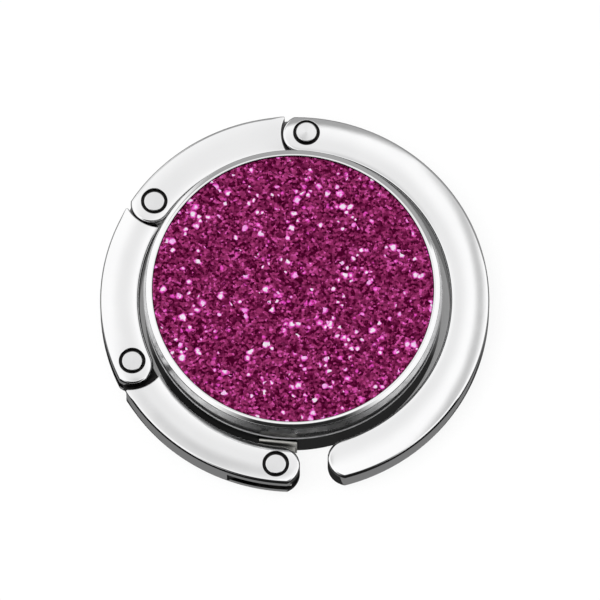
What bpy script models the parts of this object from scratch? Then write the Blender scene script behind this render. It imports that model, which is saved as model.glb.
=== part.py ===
"""Folding purse hook: a glitter disc on a rubber pad, with a ring of riveted links folded round it.

The ring's middle line is a circle about the Z axis, and the pad rests on Z = 0. From the disc outwards
come the swivel knuckle, the lower, middle and upper links and the hook arm. Each joins the next at a
rivet: the inner piece brings a flat tongue, the outer piece a forked ear.
"""

import math

import bmesh
import bpy
from mathutils import Matrix, Vector

MM = 0.001

# Ring of links
RING_RADIUS = 22.5 * MM
RING_BAND = 4.55 * MM
RING_THICKNESS = 3.55 * MM
RING_LIFT = 1.15 * MM
RING_CHAMFER = 0.42 * MM

# Places of the rivets and of the centre of the arm's round tip, in degrees from +X, and how far
# the arm's rivet stands outside the ring's middle line
LOWER_RIVET_ANGLE = 263.8
MIDDLE_RIVET_ANGLE = 202.0
UPPER_RIVET_ANGLE = 143.6
ARM_RIVET_ANGLE = 86.2
TIP_ANGLE = -72.3
ARM_RIVET_SHIFT = 0.28 * MM

# How far each joint opens, in degrees
LOWER_OPENING = 36.0
MIDDLE_OPENING = 18.0
UPPER_OPENING = 18.0
ARM_OPENING = 90.0

# Forks, tongues and rivets
SLOT_HEIGHT = 1.35 * MM
SLOT_RUNOUT = 5.3 * MM
SLOT_RUNOUT_SIDE_SHARE = 0.75
EAR_REACH = 0.4 * MM
END_BULGE = 0.125 * MM
SHOULDER_RADIUS = 4.2 * MM
LOWER_LINK_SHOULDER = 3.45 * MM
MIDDLE_LINK_SHOULDER = 2.95 * MM
UPPER_LINK_SHOULDER = 2.95 * MM
TONGUE_WIDTH = 4.0 * MM
TONGUE_HEEL = 1.75 * MM
RIVET_SHANK_RADIUS = 0.75 * MM
RIVET_HEAD_RADIUS = 1.2 * MM
RIVET_HEAD_EDGE = 0.1 * MM
RIVET_HEAD_DROP = 0.04 * MM
ARM_RIVET_RISE = 0.3 * MM
SINK_GAP = 0.33 * MM
SINK_DEPTH = 0.45 * MM

# Disc: base cup, bezel and what they carry
DISC_GAP = 0.75 * MM
DISC_SHIFT = 0.2 * MM
BASE_FOOT = 0.45 * MM
BASE_RISE = 0.4 * MM
BASE_WALL = 1.6 * MM
BASE_FLOOR = 0.55 * MM
BASE_LOWER_CHAMFER = 0.4 * MM
BASE_UPPER_CHAMFER = 0.12 * MM
SEAM_HEIGHT = 0.08 * MM
BEZEL_HEIGHT = 3.15 * MM
BEZEL_OVERHANG = 0.1 * MM
BEZEL_DRAFT = 0.3 * MM
BEZEL_ROUND = 0.75 * MM
BEZEL_FLOOR = 0.8 * MM
BEZEL_SKIRT_WALL = 0.9 * MM
BEZEL_SKIRT_DEPTH = 0.7 * MM
LIP_WIDTH = 0.75 * MM
INSERT_THICKNESS = 0.7 * MM
INSERT_DROP = 0.1 * MM
INSERT_EDGE = 0.1 * MM
ADHESIVE_THICKNESS = 0.12 * MM
ADHESIVE_MARGIN = 0.8 * MM
PAD_MARGIN = 2.2 * MM
PAD_SEAT_DEPTH = 0.37 * MM
PAD_EDGE = 0.15 * MM

# Swivel between the disc and the ring
PLATE_WIDTH = 4.4 * MM
PLATE_HEIGHT = 3.4 * MM
STUD_RADIUS = 0.75 * MM
STUD_TAIL = 0.35 * MM
STUD_GROOVE_DEPTH = 0.25 * MM
WASHER_ROOM_GAP = 0.05 * MM
WASHER_THICKNESS = 0.25 * MM
CLIP_MARGIN = 0.05 * MM
CLIP_THICKNESS = 0.3 * MM
CLIP_MOUTH = 0.9 * MM

# Clearances and the overrun of every cut
RUNNING_GAP = 0.08 * MM
SEAT_GAP = 0.05 * MM
OVERRUN = 1.0 * MM
WELD_SHARE = 0.002

# Fineness of round shapes
RING_STEP_DEGREES = 5.0
EAR_STEPS = 12
ROUND_STEPS = 24
DISC_STEPS = 72
BEZEL_ROUND_STEPS = 4
SHARP_ANGLE = math.radians(30.0)

# Colours
CHROME = (0.80, 0.80, 0.81, 1.0)
STEEL = (0.62, 0.62, 0.63, 1.0)
GLITTER_PINK = (0.62, 0.03, 0.28, 1.0)
RUBBER_BLACK = (0.02, 0.02, 0.022, 1.0)
ADHESIVE_WHITE = (0.75, 0.74, 0.70, 1.0)

# Sizes that follow from those above
HALF_BAND = RING_BAND / 2
RING_INNER = RING_RADIUS - RING_BAND
RING_MIDDLE = RING_RADIUS - HALF_BAND
RING_TOP = RING_LIFT + RING_THICKNESS
RING_HEIGHT_MIDDLE = RING_LIFT + RING_THICKNESS / 2
SLOT_LOW = RING_HEIGHT_MIDDLE - SLOT_HEIGHT / 2
SLOT_HIGH = RING_HEIGHT_MIDDLE + SLOT_HEIGHT / 2
TONGUE_LOW = SLOT_LOW + RUNNING_GAP
TONGUE_HIGH = SLOT_HIGH - RUNNING_GAP
HALF_TONGUE = TONGUE_WIDTH / 2
END_RADIUS = HALF_BAND + END_BULGE
END_CENTRE = RING_INNER + END_RADIUS
LOWER_RIVET = (LOWER_RIVET_ANGLE, RING_MIDDLE)
MIDDLE_RIVET = (MIDDLE_RIVET_ANGLE, RING_MIDDLE)
UPPER_RIVET = (UPPER_RIVET_ANGLE, RING_MIDDLE)
ARM_RIVET = (ARM_RIVET_ANGLE, RING_MIDDLE + ARM_RIVET_SHIFT)
SINK_RADIUS = RIVET_HEAD_RADIUS + SINK_GAP
BASE_RADIUS = RING_INNER - DISC_GAP
BASE_TOP = RING_TOP + BASE_RISE
BASE_INNER = BASE_RADIUS - BASE_WALL
PAD_RADIUS = BASE_RADIUS - PAD_MARGIN
PAD_SEAT = BASE_FOOT + PAD_SEAT_DEPTH
BASE_FLOOR_TOP = PAD_SEAT + BASE_FLOOR
BEZEL_BOTTOM = BASE_TOP + SEAM_HEIGHT
BEZEL_TOP = BEZEL_BOTTOM + BEZEL_HEIGHT
BEZEL_RADIUS = BASE_RADIUS + BEZEL_OVERHANG
BEZEL_TOP_RADIUS = BEZEL_RADIUS - BEZEL_DRAFT
LIP_INNER = BEZEL_TOP_RADIUS - LIP_WIDTH
INSERT_TOP = BEZEL_TOP - INSERT_DROP
INSERT_BOTTOM = INSERT_TOP - INSERT_THICKNESS
INSERT_ADHESIVE_TOP = INSERT_BOTTOM - SEAT_GAP
INSERT_SEAT = INSERT_ADHESIVE_TOP - ADHESIVE_THICKNESS - SEAT_GAP
PAD_ADHESIVE_TOP = PAD_SEAT - SEAT_GAP
PAD_TOP = PAD_ADHESIVE_TOP - ADHESIVE_THICKNESS - SEAT_GAP
SKIRT_RADIUS = BASE_INNER - SEAT_GAP
SKIRT_BOTTOM = BASE_TOP - BEZEL_SKIRT_DEPTH
SWIVEL_ROOM = min(RING_HEIGHT_MIDDLE - BASE_FLOOR_TOP, SKIRT_BOTTOM - RING_HEIGHT_MIDDLE)
WASHER_RADIUS = SWIVEL_ROOM - WASHER_ROOM_GAP
CLIP_RADIUS = WASHER_RADIUS - CLIP_MARGIN
DISC_CENTRE = Vector((-DISC_SHIFT, 0.0, 0.0))


def ring_point(radius, degrees):
    """A point of the ring's plane, at a radius and an angle about the Z axis."""
    angle = math.radians(degrees)
    return Vector((radius * math.cos(angle), radius * math.sin(angle)))


def arc(centre, radius, first, last, steps):
    """Points of an arc, both ends included."""
    span = last - first
    return [centre + ring_point(radius, first + span * i / steps) for i in range(steps + 1)]


def ring_arc(radius, first, last):
    """An arc about the ring's own centre, in steps of about the ring's angle."""
    steps = max(1, math.ceil(abs(last - first) / RING_STEP_DEGREES))
    return arc(Vector((0.0, 0.0)), radius, first, last, steps)


def rivet_frame(rivet):
    """A rivet's place, with the directions along its ear's link and outwards."""
    degrees, radius = rivet
    outward = ring_point(1.0, degrees)
    along = Vector((outward.y, -outward.x))
    return outward * radius, along, outward


def new_object(name, bm, origin):
    """An object from a bmesh made in world places, with its origin moved to a point."""
    bmesh.ops.recalc_face_normals(bm, faces=bm.faces)
    bmesh.ops.translate(bm, verts=bm.verts, vec=-origin)
    mesh = bpy.data.meshes.new(name)
    bm.to_mesh(mesh)
    bm.free()
    mesh.shade_smooth()
    mesh.set_sharp_from_angle(angle=SHARP_ANGLE)
    obj = bpy.data.objects.new(name, mesh)
    obj.location = origin
    bpy.context.collection.objects.link(obj)
    return obj


def prism(name, outline, low, high, origin, chamfer=0.0):
    """An upright prism on a flat outline, its top and bottom edges chamfered."""
    bm = bmesh.new()
    floor = bm.faces.new([bm.verts.new((p.x, p.y, low)) for p in outline])
    top = bmesh.ops.extrude_face_region(bm, geom=[floor])["geom"]
    raised = [item for item in top if isinstance(item, bmesh.types.BMVert)]
    bmesh.ops.translate(bm, verts=raised, vec=Vector((0.0, 0.0, high - low)))
    if chamfer:
        flat = [edge for edge in bm.edges if edge.verts[0].co.z == edge.verts[1].co.z]
        bmesh.ops.bevel(bm, geom=flat, offset=chamfer, segments=1, affect="EDGES")
    return new_object(name, bm, origin)


def turned(name, profile, origin, steps=ROUND_STEPS, turn=None):
    """A solid turned about Z from a profile of radius and height, then turned and placed."""
    bm = bmesh.new()
    verts = [bm.verts.new((radius, 0.0, height)) for radius, height in profile]
    edges = [bm.edges.new(pair) for pair in zip(verts, verts[1:])]
    if profile[0][0] or profile[-1][0]:
        edges.append(bm.edges.new((verts[-1], verts[0])))
    spun = {"axis": (0.0, 0.0, 1.0), "cent": (0.0, 0.0, 0.0), "angle": math.tau}
    bmesh.ops.spin(bm, geom=verts + edges, steps=steps, use_merge=True, **spun)
    bmesh.ops.remove_doubles(bm, verts=bm.verts, dist=SEAT_GAP * WELD_SHARE)
    if turn:
        bmesh.ops.transform(bm, matrix=turn, verts=bm.verts)
    bmesh.ops.translate(bm, verts=bm.verts, vec=origin)
    return new_object(name, bm, origin)


def finish(obj, colour, roughness, metallic):
    """The object's own material."""
    material = bpy.data.materials.new(obj.name + "_finish")
    material.use_nodes = True
    shader = material.node_tree.nodes["Principled BSDF"]
    shader.inputs["Base Color"].default_value = colour
    shader.inputs["Roughness"].default_value = roughness
    shader.inputs["Metallic"].default_value = metallic
    material.diffuse_color = colour
    obj.data.materials.append(material)
    return obj


def chrome(obj):
    return finish(obj, CHROME, 0.08, 1.0)


def combine(obj, tool, operation):
    """Cut the tool from the object, or join it on, with the tool hidden."""
    tool.hide_render = True
    tool.display_type = "WIRE"
    modifier = obj.modifiers.new(tool.name, "BOOLEAN")
    modifier.operation = operation
    modifier.object = tool


def axis_empty(name, place, parent=None):
    """An empty on a joint's axis, which carries the pieces that turn there."""
    empty = bpy.data.objects.new(name, None)
    empty.empty_display_size = RING_BAND
    empty.location = place
    bpy.context.collection.objects.link(empty)
    if parent:
        hang(empty, parent)
    return empty


def world_place(obj):
    """Where an object stands, through its parents, none of which is turned."""
    place = obj.location.copy()
    if obj.parent:
        place += world_place(obj.parent)
    return place


def hang(obj, parent):
    """Put an object under a parent without moving it."""
    obj.location -= world_place(parent)
    obj.parent = parent


def at_height(point, height):
    return Vector((point.x, point.y, height))


def pivot(rivet):
    """The middle of a rivet's shank, which is its joint's origin."""
    return at_height(rivet_frame(rivet)[0], RING_HEIGHT_MIDDLE)


# Forks and tongues
def slot_depth(opening, corner_angle):
    """How deep a fork's slot runs past its rivet, so that the tongue's heel stops on it.

    The heel's corner swings towards the slot's end as the joint opens.
    """
    reach = math.hypot(TONGUE_HEEL, HALF_TONGUE)
    left = max(0.0, corner_angle - opening)
    return reach * math.cos(math.radians(left)) + RUNNING_GAP


def tongue_corner_angle():
    """The angle at which a link's heel corner stands off the slot's own direction."""
    return math.degrees(math.atan2(HALF_TONGUE, TONGUE_HEEL))


def link_tongue(name, rivet, shoulder, origin):
    """A link's tongue: it leaves the link along the ring and ends in a heel past the rivet."""
    degrees = rivet[0]
    middle, along, outward = rivet_frame((degrees, RING_MIDDLE))
    root = degrees + math.degrees((shoulder + OVERRUN) / RING_MIDDLE)
    heel = [middle + along * TONGUE_HEEL + outward * side for side in (HALF_TONGUE, -HALF_TONGUE)]
    outer = ring_arc(RING_MIDDLE + HALF_TONGUE, root, degrees)
    inner = ring_arc(RING_MIDDLE - HALF_TONGUE, degrees, root)
    return prism(name, outer + heel + inner, TONGUE_LOW, TONGUE_HIGH, origin)


def fork_slot(name, rivet, depth, origin):
    """The cutter of a fork's slot, with the run-out that a round saw leaves on the outer wall."""
    middle, along, outward = rivet_frame((rivet[0], RING_MIDDLE))
    far = HALF_BAND + OVERRUN
    exit_side = math.sqrt(RING_RADIUS**2 - SLOT_RUNOUT**2) - RING_MIDDLE
    back = -(HALF_BAND + EAR_REACH + OVERRUN)
    runout_side = HALF_TONGUE * SLOT_RUNOUT_SIDE_SHARE
    corners = [
        (back, -far),
        (depth, -far),
        (depth, runout_side),
        (SLOT_RUNOUT, exit_side),
        (SLOT_RUNOUT, far),
        (back, far),
    ]
    outline = [middle + along * u + outward * v for u, v in corners]
    return prism(name, outline, SLOT_LOW, SLOT_HIGH, origin)


def rivet_bore(name, place):
    """The cutter of a fork's rivet hole, with a sink for the head in each face."""
    hole = RIVET_SHANK_RADIUS + SEAT_GAP
    reach = RING_THICKNESS / 2
    profile = [
        (0.0, reach + OVERRUN),
        (SINK_RADIUS, reach + OVERRUN),
        (SINK_RADIUS, reach - SINK_DEPTH),
        (hole, reach - SINK_DEPTH),
        (hole, SINK_DEPTH - reach),
        (SINK_RADIUS, SINK_DEPTH - reach),
        (SINK_RADIUS, -reach - OVERRUN),
        (0.0, -reach - OVERRUN),
    ]
    return turned(name, profile, place)


def tongue_bore(name, place):
    """The cutter of a tongue's rivet hole, which turns freely on the shank."""
    hole = RIVET_SHANK_RADIUS + RUNNING_GAP
    profile = [(0.0, SLOT_HEIGHT), (hole, SLOT_HEIGHT), (hole, -SLOT_HEIGHT), (0.0, -SLOT_HEIGHT)]
    return turned(name, profile, place)


def shoulder_cut(name, rivet, shoulder):
    """The cutter of the hollow shoulder, at its own reach from the rivet, that the next ear turns in."""
    centre = rivet_frame(rivet)[0] + rivet_frame(rivet)[1] * (SHOULDER_RADIUS - shoulder)
    profile = [
        (0.0, RING_THICKNESS),
        (SHOULDER_RADIUS, RING_THICKNESS),
        (SHOULDER_RADIUS, -RING_THICKNESS),
        (0.0, -RING_THICKNESS),
    ]
    return turned(name, profile, at_height(centre, RING_HEIGHT_MIDDLE), 2 * ROUND_STEPS)


# Links and arm
def end_corner():
    """The corner that a round end makes with the outer wall: its angle round the ring from the
    end's centre, and its direction as seen from that centre."""
    squares = RING_RADIUS**2 + END_CENTRE**2 - END_RADIUS**2
    turn = math.acos(squares / (2 * RING_RADIUS * END_CENTRE))
    rise = RING_RADIUS * math.cos(turn) - END_CENTRE
    return math.degrees(turn), math.degrees(math.atan2(RING_RADIUS * math.sin(turn), rise))


def ear_angle(rivet):
    """Where round the ring the centre of a fork's round end stands, just past its rivet."""
    return rivet[0] + math.degrees(EAR_REACH / RING_MIDDLE)


def ear_end(centre):
    """The round end of a fork, from the ring's inner wall to its corner on the outer wall."""
    direction = end_corner()[1]
    return arc(ring_point(END_CENTRE, centre), END_RADIUS, centre + 180.0, centre + direction, EAR_STEPS)


def tip_end():
    """The arm's round tip, from its corner on the outer wall to the ring's inner wall."""
    first = TIP_ANGLE - end_corner()[1]
    return arc(ring_point(END_CENTRE, TIP_ANGLE), END_RADIUS, first, TIP_ANGLE - 180.0, EAR_STEPS)


def band(name, rivet, outer_last, inner_last, end, origin):
    """A stretch of the ring that starts in a round ear and closes with the given end points."""
    ear = ear_angle(rivet)
    outer = ring_arc(RING_RADIUS, ear + end_corner()[0], outer_last)
    inner = ring_arc(RING_INNER, inner_last, ear)
    outline = ear_end(ear) + outer + end + inner
    return prism(name, clean(outline), RING_LIFT, RING_TOP, origin, RING_CHAMFER)


def clean(outline):
    """The outline without the points that repeat the one before."""
    apart = SEAT_GAP * WELD_SHARE
    pairs = zip(outline, outline[-1:] + outline[:-1])
    return [point for point, before in pairs if (point - before).length > apart]


def cut_fork(obj, rivet, depth):
    """Cut a link's slot and its rivet's hole."""
    place = pivot(rivet)
    combine(obj, fork_slot(obj.name + "_slot", rivet, depth, place), "DIFFERENCE")
    combine(obj, rivet_bore(obj.name + "_rivet_bore", place), "DIFFERENCE")


def add_tongue(obj, rivet, shoulder):
    """Hollow a link's shoulder and join the tongue on, with its hole."""
    place = pivot(rivet)
    combine(obj, shoulder_cut(obj.name + "_shoulder", rivet, shoulder), "DIFFERENCE")
    combine(obj, link_tongue(obj.name + "_tongue", rivet, shoulder, place), "UNION")
    combine(obj, tongue_bore(obj.name + "_tongue_bore", place), "DIFFERENCE")


def make_link(name, ear, tongue, depth, shoulder):
    """A link of the chain, forked at its ear's rivet and tongued at the next one."""
    obj = band(name, ear, tongue[0], tongue[0], [], pivot(ear))
    add_tongue(obj, tongue, shoulder)
    cut_fork(obj, ear, depth)
    return chrome(obj)


def make_arm(depth):
    """The long hook arm, forked at its rivet and round at its free tip."""
    corner = TIP_ANGLE - end_corner()[0]
    obj = band("hook_arm", ARM_RIVET, corner, TIP_ANGLE, tip_end(), pivot(ARM_RIVET))
    cut_fork(obj, ARM_RIVET, depth)
    return chrome(obj)


def rivet_half(top):
    """Half of a rivet's profile: a flat head whose face stands at a height above the middle."""
    under = RING_THICKNESS / 2 - SINK_DEPTH + SEAT_GAP
    return [
        (0.0, top),
        (RIVET_HEAD_RADIUS - RIVET_HEAD_EDGE, top),
        (RIVET_HEAD_RADIUS, top - RIVET_HEAD_EDGE),
        (RIVET_HEAD_RADIUS, under),
        (RIVET_SHANK_RADIUS, under),
    ]


def make_rivet(name, place, rise):
    """A rivet with a flat head sunk in each face of its fork, the upper one raised by a rise."""
    flush = RING_THICKNESS / 2 - RIVET_HEAD_DROP
    lower = [(radius, -height) for radius, height in reversed(rivet_half(flush))]
    return finish(turned(name, rivet_half(flush + rise) + lower, place), CHROME, 0.15, 1.0)


# Swivel
def swivel_angle():
    """The direction of the swivel's axis, from the disc's centre to the lower rivet."""
    rivet = pivot(LOWER_RIVET) - DISC_CENTRE
    return math.atan2(rivet.y, rivet.x)


def swivel_turn():
    """Turns a piece made about +Z so that it lies along the swivel's axis, pointing outwards."""
    return Matrix.Rotation(swivel_angle(), 4, "Z") @ Matrix.Rotation(math.pi / 2, 4, "Y")


def on_swivel(distance):
    """A point of the swivel's axis, at a distance from the disc's centre."""
    outward = Vector((math.cos(swivel_angle()), math.sin(swivel_angle()), 0.0))
    return at_height(DISC_CENTRE + outward * distance, RING_HEIGHT_MIDDLE)


def rivet_distance():
    """How far the lower rivet stands from the disc's centre."""
    across = pivot(LOWER_RIVET) - DISC_CENTRE
    return math.hypot(across.x, across.y)


def ear_sweep():
    """How near the lower link's ear comes to the disc from its rivet as it opens."""
    opening = math.radians(min(90.0, LOWER_OPENING))
    return END_RADIUS + EAR_REACH * math.sin(opening) - END_BULGE * math.cos(opening)


def plate_faces():
    """The inner and outer face of the knuckle's plate, from the disc's centre."""
    return BASE_RADIUS + RUNNING_GAP, rivet_distance() - ear_sweep() - RUNNING_GAP


def swivel_box(name, near, far, width, low, high):
    """A block along the swivel's axis, between two distances from the disc's centre."""
    outward = on_swivel(1.0) - on_swivel(0.0)
    side = Vector((-outward.y, outward.x, 0.0)) * (width / 2)
    ends = on_swivel(near), on_swivel(far)
    corners = [ends[0] - side, ends[1] - side, ends[1] + side, ends[0] + side]
    return prism(name, corners, low, high, on_swivel(near))


def washer_faces():
    """The washer's two faces, from the disc's centre, its rim clear of the cup's curved wall."""
    far = math.sqrt(BASE_INNER**2 - WASHER_RADIUS**2) - SEAT_GAP
    return far - WASHER_THICKNESS, far


def clip_faces():
    """The clip's two faces, from the disc's centre, against the washer."""
    far = washer_faces()[0] - SEAT_GAP
    return far - CLIP_THICKNESS, far


def stud_profile():
    """The stud from its buried end in the plate down to its tail, with the clip's groove."""
    groove_radius = STUD_RADIUS - STUD_GROOVE_DEPTH
    buried = sum(plate_faces()) / 2
    groove_near = clip_faces()[0] - SEAT_GAP
    groove_far = clip_faces()[1] + SEAT_GAP
    tail = groove_near - STUD_TAIL
    return [
        (0.0, buried),
        (STUD_RADIUS, buried),
        (STUD_RADIUS, groove_far),
        (groove_radius, groove_far),
        (groove_radius, groove_near),
        (STUD_RADIUS, groove_near),
        (STUD_RADIUS, tail),
        (0.0, tail),
    ]


def make_knuckle():
    """The swivel knuckle: a plate on the disc's wall, a stud into the disc and a tongue outwards."""
    inner, outer = plate_faces()
    low = RING_HEIGHT_MIDDLE - PLATE_HEIGHT / 2
    obj = swivel_box("swivel_knuckle", inner, outer, PLATE_WIDTH, low, low + PLATE_HEIGHT)
    heel = rivet_distance() + TONGUE_HEEL
    buried = (inner + outer) / 2
    tongue = swivel_box("knuckle_tongue", buried, heel, TONGUE_WIDTH, TONGUE_LOW, TONGUE_HIGH)
    combine(obj, tongue, "UNION")
    stud = turned("knuckle_stud", stud_profile(), on_swivel(0.0), turn=swivel_turn())
    combine(obj, stud, "UNION")
    combine(obj, tongue_bore("knuckle_bore", pivot(LOWER_RIVET)), "DIFFERENCE")
    return chrome(obj)


def make_washer():
    """The friction washer between the cup's wall and the clip."""
    hole = STUD_RADIUS + RUNNING_GAP
    near, far = washer_faces()
    profile = [(WASHER_RADIUS, far), (WASHER_RADIUS, near), (hole, near), (hole, far)]
    obj = turned("swivel_washer", profile, on_swivel(0.0), turn=swivel_turn())
    return finish(obj, STEEL, 0.3, 1.0)


def make_clip():
    """The open clip in the stud's groove, which keeps the stud in the cup."""
    groove_radius = STUD_RADIUS - STUD_GROOVE_DEPTH
    near, far = clip_faces()
    hole = groove_radius + SEAT_GAP
    profile = [(CLIP_RADIUS, far), (CLIP_RADIUS, near), (hole, near), (hole, far)]
    obj = turned("retaining_clip", profile, on_swivel(0.0), turn=swivel_turn())
    mouth_low = RING_HEIGHT_MIDDLE + hole / 2
    mouth_high = RING_HEIGHT_MIDDLE + CLIP_RADIUS + OVERRUN
    reach = near - OVERRUN, far + OVERRUN
    mouth = swivel_box("clip_mouth", *reach, CLIP_MOUTH, mouth_low, mouth_high)
    combine(obj, mouth, "DIFFERENCE")
    return finish(obj, STEEL, 0.3, 1.0)


# Disc
def make_base_cup():
    """The lower cup, with a seat for the pad below and the swivel's bore through its wall."""
    seat_radius = PAD_RADIUS + SEAT_GAP
    profile = [
        (0.0, BASE_FLOOR_TOP),
        (BASE_INNER, BASE_FLOOR_TOP),
        (BASE_INNER, BASE_TOP),
        (BASE_RADIUS - BASE_UPPER_CHAMFER, BASE_TOP),
        (BASE_RADIUS, BASE_TOP - BASE_UPPER_CHAMFER),
        (BASE_RADIUS, BASE_FOOT + BASE_LOWER_CHAMFER),
        (BASE_RADIUS - BASE_LOWER_CHAMFER, BASE_FOOT),
        (seat_radius, BASE_FOOT),
        (seat_radius, PAD_SEAT),
        (0.0, PAD_SEAT),
    ]
    obj = turned("base_cup", profile, DISC_CENTRE, DISC_STEPS)
    hole = STUD_RADIUS + RUNNING_GAP
    ends = BASE_RADIUS + OVERRUN, BASE_INNER - OVERRUN
    bore = [(0.0, ends[0]), (hole, ends[0]), (hole, ends[1]), (0.0, ends[1])]
    combine(obj, turned("base_cup_bore", bore, on_swivel(0.0), turn=swivel_turn()), "DIFFERENCE")
    return chrome(obj)


def make_bezel():
    """The bezel that closes the cup: a tapered wall, a round lip and a seat for the insert."""
    centre = Vector((BEZEL_TOP_RADIUS - BEZEL_ROUND, BEZEL_TOP - BEZEL_ROUND))
    edge = arc(centre, BEZEL_ROUND, 0.0, 90.0, BEZEL_ROUND_STEPS)
    skirt_inner = SKIRT_RADIUS - BEZEL_SKIRT_WALL
    profile = [
        (0.0, INSERT_SEAT - BEZEL_FLOOR),
        (skirt_inner, INSERT_SEAT - BEZEL_FLOOR),
        (skirt_inner, SKIRT_BOTTOM),
        (SKIRT_RADIUS, SKIRT_BOTTOM),
        (SKIRT_RADIUS, BEZEL_BOTTOM),
        (BEZEL_RADIUS, BEZEL_BOTTOM),
        *[(point.x, point.y) for point in edge],
        (LIP_INNER, BEZEL_TOP),
        (LIP_INNER, INSERT_SEAT),
        (0.0, INSERT_SEAT),
    ]
    return chrome(turned("bezel_cup", profile, DISC_CENTRE, DISC_STEPS))


def plain_disc(name, radius, low, high, edge):
    """A flat disc with its upper and lower edge chamfered."""
    profile = [
        (0.0, high),
        (radius - edge, high),
        (radius, high - edge),
        (radius, low + edge),
        (radius - edge, low),
        (0.0, low),
    ]
    return turned(name, profile, DISC_CENTRE, DISC_STEPS)


def make_insert():
    """The glitter insert, just under the bezel's lip."""
    radius = LIP_INNER - SEAT_GAP
    obj = plain_disc("glitter_insert", radius, INSERT_BOTTOM, INSERT_TOP, INSERT_EDGE)
    return finish(obj, GLITTER_PINK, 0.3, 0.2)


def make_adhesive(name, holder_radius, top):
    """A thin adhesive disc, a margin smaller than the disc that it holds."""
    edge = ADHESIVE_THICKNESS / 4
    radius = holder_radius - ADHESIVE_MARGIN
    obj = plain_disc(name, radius, top - ADHESIVE_THICKNESS, top, edge)
    return finish(obj, ADHESIVE_WHITE, 0.6, 0.0)


def make_insert_adhesive():
    return make_adhesive("insert_adhesive", LIP_INNER, INSERT_ADHESIVE_TOP)


def make_pad_adhesive():
    return make_adhesive("pad_adhesive", PAD_RADIUS, PAD_ADHESIVE_TOP)


def make_pad():
    """The rubber pad that grips the table, seated in the cup's underside."""
    obj = plain_disc("rubber_pad", PAD_RADIUS, 0.0, PAD_TOP, PAD_EDGE)
    return finish(obj, RUBBER_BLACK, 0.8, 0.0)


# Assembly
def make_disc():
    """All that stays on the table, under an empty on the disc's axis."""
    stand = axis_empty("disc_axis", DISC_CENTRE)
    cups = make_base_cup(), make_bezel()
    glued = make_insert(), make_insert_adhesive(), make_pad(), make_pad_adhesive()
    for obj in (*cups, *glued, make_washer()):
        hang(obj, stand)
    return stand


def make_swivel(stand):
    """The knuckle and its clip, under an empty on the swivel's axis."""
    swivel = axis_empty("swivel_axis", on_swivel(BASE_RADIUS), stand)
    hang(make_knuckle(), swivel)
    hang(make_clip(), swivel)
    return swivel


def add_stage(name, rivet, piece, before, rise=0.0):
    """Hang a piece of the chain and its rivet on an empty at the rivet, under the stage before."""
    joint = axis_empty(name + "_axis", pivot(rivet), before)
    hang(piece, joint)
    hang(make_rivet(name + "_rivet", pivot(rivet), rise), joint)
    return joint


def make_chain(swivel):
    """The three links and the arm, each hinged at a rivet to the piece before."""
    corner = tongue_corner_angle()
    lower_depth = slot_depth(LOWER_OPENING, 90.0 - corner)
    middle_depth = slot_depth(MIDDLE_OPENING, corner)
    upper_depth = slot_depth(UPPER_OPENING, corner)
    stages = [
        ("lower", LOWER_RIVET, MIDDLE_RIVET, lower_depth, LOWER_LINK_SHOULDER),
        ("middle", MIDDLE_RIVET, UPPER_RIVET, middle_depth, MIDDLE_LINK_SHOULDER),
        ("upper", UPPER_RIVET, ARM_RIVET, upper_depth, UPPER_LINK_SHOULDER),
    ]
    joint = swivel
    for name, ear, tongue, depth, shoulder in stages:
        joint = add_stage(name, ear, make_link(name + "_link", ear, tongue, depth, shoulder), joint)
    arm = make_arm(slot_depth(ARM_OPENING, corner))
    add_stage("arm", ARM_RIVET, arm, joint, ARM_RIVET_RISE)


def hang_tools():
    """Put each hidden tool under the piece that it shapes, so that they move together."""
    for obj in bpy.data.objects:
        for modifier in obj.modifiers:
            hang(modifier.object, obj)


def main():
    for obj in list(bpy.data.objects):
        bpy.data.objects.remove(obj, do_unlink=True)
    make_chain(make_swivel(make_disc()))
    hang_tools()


main()
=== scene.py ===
"""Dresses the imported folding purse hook: polished ring links, rivets, disc, glitter and a plain studio.

Lengths are in millimetres until a mesh is made, and angles are in degrees.
"""

from math import atan2, ceil, cos, degrees, hypot, pi, radians, sin, sqrt, tan

import bmesh
import bpy
import numpy as np
from mathutils import Matrix, Vector
from mathutils.geometry import delaunay_2d_cdt
from numpy.linalg import norm


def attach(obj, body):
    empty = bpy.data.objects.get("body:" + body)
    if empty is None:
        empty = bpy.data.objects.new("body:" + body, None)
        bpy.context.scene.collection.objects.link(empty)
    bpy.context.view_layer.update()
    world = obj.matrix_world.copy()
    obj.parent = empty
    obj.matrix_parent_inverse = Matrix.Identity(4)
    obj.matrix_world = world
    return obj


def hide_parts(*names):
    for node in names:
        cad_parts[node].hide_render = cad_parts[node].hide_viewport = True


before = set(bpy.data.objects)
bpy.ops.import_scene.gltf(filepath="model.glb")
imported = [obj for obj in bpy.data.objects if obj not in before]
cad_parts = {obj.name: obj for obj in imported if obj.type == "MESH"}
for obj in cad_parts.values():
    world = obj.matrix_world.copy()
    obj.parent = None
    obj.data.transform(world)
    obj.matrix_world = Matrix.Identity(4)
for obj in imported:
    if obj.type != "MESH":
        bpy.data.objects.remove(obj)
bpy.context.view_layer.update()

MM = 0.001

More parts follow.
